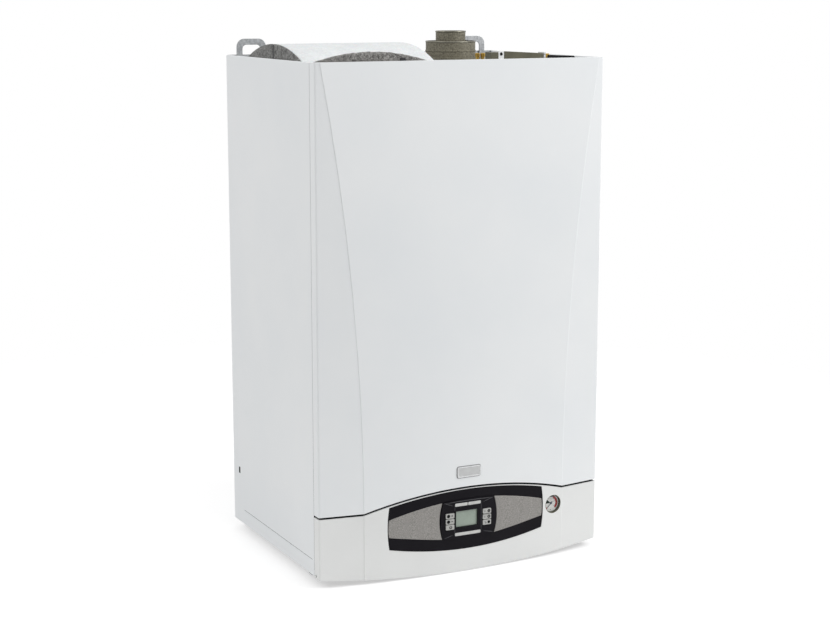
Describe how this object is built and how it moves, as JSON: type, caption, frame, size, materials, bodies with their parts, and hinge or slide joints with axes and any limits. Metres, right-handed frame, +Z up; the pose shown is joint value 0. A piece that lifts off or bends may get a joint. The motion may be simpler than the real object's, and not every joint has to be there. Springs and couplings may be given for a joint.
{
  "type": "wall-hung gas boiler",
  "caption": "White wall-hung condensing gas boiler with a built-in hot-water tank, bowed front cover, tilting control fascia, pull-out control unit and round pressure gauge",
  "frame": {"origin": "middle of the casing's lower rear edge, on the wall plane", "axes": "+X to the right seen from the front, +Y into the wall, +Z up"},
  "size_m": [0.6, 0.4684, 1.0131],
  "materials": {
    "white_paint": "smooth white powder coat",
    "white_plastic": "smooth white moulding",
    "badge_silver": "satin, bare",
    "black_plastic": "dark moulding with a soft gloss",
    "silver_trim": "brushed across",
    "display_glass": "grey-green display",
    "grey_key": "light grey keys",
    "circuit_board": "green board",
    "grey_plastic": "plain grey moulding",
    "dial_face": "printed white face",
    "clear_lens": "clear",
    "needle_black": "black",
    "zinc_steel": "zinc-coated sheet",
    "white_foam": "moulded white foam",
    "dark_foam": "dark grey foam sheet",
    "grey_felt": "grainy grey felt",
    "tank_steel": "stainless sheet",
    "copper": "copper tube",
    "brass": "plain brass",
    "flue_metal": "worn grey",
    "cast_alloy": "as cast",
    "olive_plastic": "olive grey",
    "clip_white": "white",
    "vessel_paint": "red paint",
    "pump_grey": "dark grey paint",
    "knob_black": "black",
    "knob_blue": "blue"
  },
  "bodies": {
    "casing": {"back_panel": "zinc_steel", "left_side_panel": "white_paint", "right_side_panel": "white_paint", "panel_screws": "zinc_steel", "hanging_eyes": "zinc_steel", "hinge_brackets": "zinc_steel", "tank_shelf": "zinc_steel", "insulation_jacket": "white_foam", "insulation_cap": "white_foam", "side_foam_pad": "dark_foam", "front_felt_pad": "grey_felt", "storage_tank": "tank_steel", "tank_coil": "tank_steel", "chamber_box": "zinc_steel", "chamber_door": "zinc_steel", "hatch_cover": "olive_plastic", "hatch_clips": "clip_white", "test_plugs": "brass", "flue_adaptor": "flue_metal", "flue_tube": "flue_metal", "heat_exchanger": "cast_alloy", "burner": "tank_steel", "fan_housing": "cast_alloy", "fan_motor": "pump_grey", "gas_valve": "cast_alloy", "expansion_vessel": "vessel_paint", "hydraulic_block": "brass", "pump_body": "pump_grey", "pump_motor": "pump_grey", "valve_actuator": "grey_plastic", "pipework": "copper", "condensate_trap": "grey_plastic", "pipe_unions": "brass", "pipe_rail": "zinc_steel"},
    "cover": {"front_cover": "white_paint", "badge": "badge_silver"},
    "fascia": {"fascia": "white_plastic", "bezel": "black_plastic", "silver_plates": "silver_trim", "control_box": "grey_plastic", "main_board": "circuit_board", "gauge_case": "grey_plastic", "gauge_dial": "dial_face", "gauge_lens": "clear_lens"},
    "control_unit": {"remote_shell": "black_plastic", "remote_back": "black_plastic", "remote_board": "circuit_board", "lcd_panel": "display_glass"},
    "key_left_top": {"button_left_top": "grey_key"},
    "key_left_middle": {"button_left_middle": "grey_key"},
    "key_left_bottom": {"button_left_bottom": "grey_key"},
    "key_right_top": {"button_right_top": "grey_key"},
    "key_right_middle": {"button_right_middle": "grey_key"},
    "key_right_bottom": {"button_right_bottom": "grey_key"},
    "needle": {"gauge_needle": "needle_black"},
    "fan": {"fan_wheel": "cast_alloy"},
    "pump": {"pump_impeller": "grey_plastic"},
    "spool": {"valve_spool": "brass"},
    "safety_tap": {"safety_knob": "knob_black"},
    "filling_tap": {"filling_knob": "knob_blue"}
  },
  "joints": [
    {"name": "cover_pull", "type": "slide", "parent": "casing", "child": "cover", "axis": [0, -1, 0], "range_m": [0, 0.3]},
    {"name": "fascia_tilt", "type": "hinge", "parent": "casing", "child": "fascia", "pos_m": [0, -0.426, 0.002], "axis": [1, 0, 0], "range_deg": [0, 75]},
    {"name": "unit_pull", "type": "slide", "parent": "fascia", "child": "control_unit", "axis": [0, -1, 0], "range_m": [0, 0.025]},
    {"name": "needle_turn", "type": "hinge", "parent": "fascia", "child": "needle", "pos_m": [0.1925, -0.441, 0.0844], "axis": [0, 1, 0], "range_deg": [0, 270], "stiffness_Nm_per_rad": 0.0004},
    {"name": "fan_spin", "type": "hinge", "parent": "casing", "child": "fan", "pos_m": [0.172, -0.27, 0.57], "axis": [0, 1, 0], "continuous": true},
    {"name": "pump_spin", "type": "hinge", "parent": "casing", "child": "pump", "pos_m": [0.15, -0.3, 0.085], "axis": [0, 1, 0], "continuous": true},
    {"name": "spool_shift", "type": "slide", "parent": "casing", "child": "spool", "axis": [1, 0, 0], "range_m": [0, 0.008], "stiffness_N_per_m": 600},
    {"name": "safety_turn", "type": "hinge", "parent": "casing", "child": "safety_tap", "pos_m": [0.198, -0.23, 0.168], "axis": [0, 0, 1], "range_deg": [0, 90]},
    {"name": "filling_turn", "type": "hinge", "parent": "casing", "child": "filling_tap", "pos_m": [0.186, -0.23, 0.012], "axis": [0, 0, -1], "range_deg": [0, 270]},
    {"name": "press_left_top", "type": "slide", "parent": "control_unit", "child": "key_left_top", "axis": [0, 1, 0], "range_m": [0, 0.0012], "stiffness_N_per_m": 800},
    {"name": "press_left_middle", "type": "slide", "parent": "control_unit", "child": "key_left_middle", "axis": [0, 1, 0], "range_m": [0, 0.0012], "stiffness_N_per_m": 800},
    {"name": "press_left_bottom", "type": "slide", "parent": "control_unit", "child": "key_left_bottom", "axis": [0, 1, 0], "range_m": [0, 0.0012], "stiffness_N_per_m": 800},
    {"name": "press_right_top", "type": "slide", "parent": "control_unit", "child": "key_right_top", "axis": [0, 1, 0], "range_m": [0, 0.0012], "stiffness_N_per_m": 800},
    {"name": "press_right_middle", "type": "slide", "parent": "control_unit", "child": "key_right_middle", "axis": [0, 1, 0], "range_m": [0, 0.0012], "stiffness_N_per_m": 800},
    {"name": "press_right_bottom", "type": "slide", "parent": "control_unit", "child": "key_right_bottom", "axis": [0, 1, 0], "range_m": [0, 0.0012], "stiffness_N_per_m": 800}
  ]
}
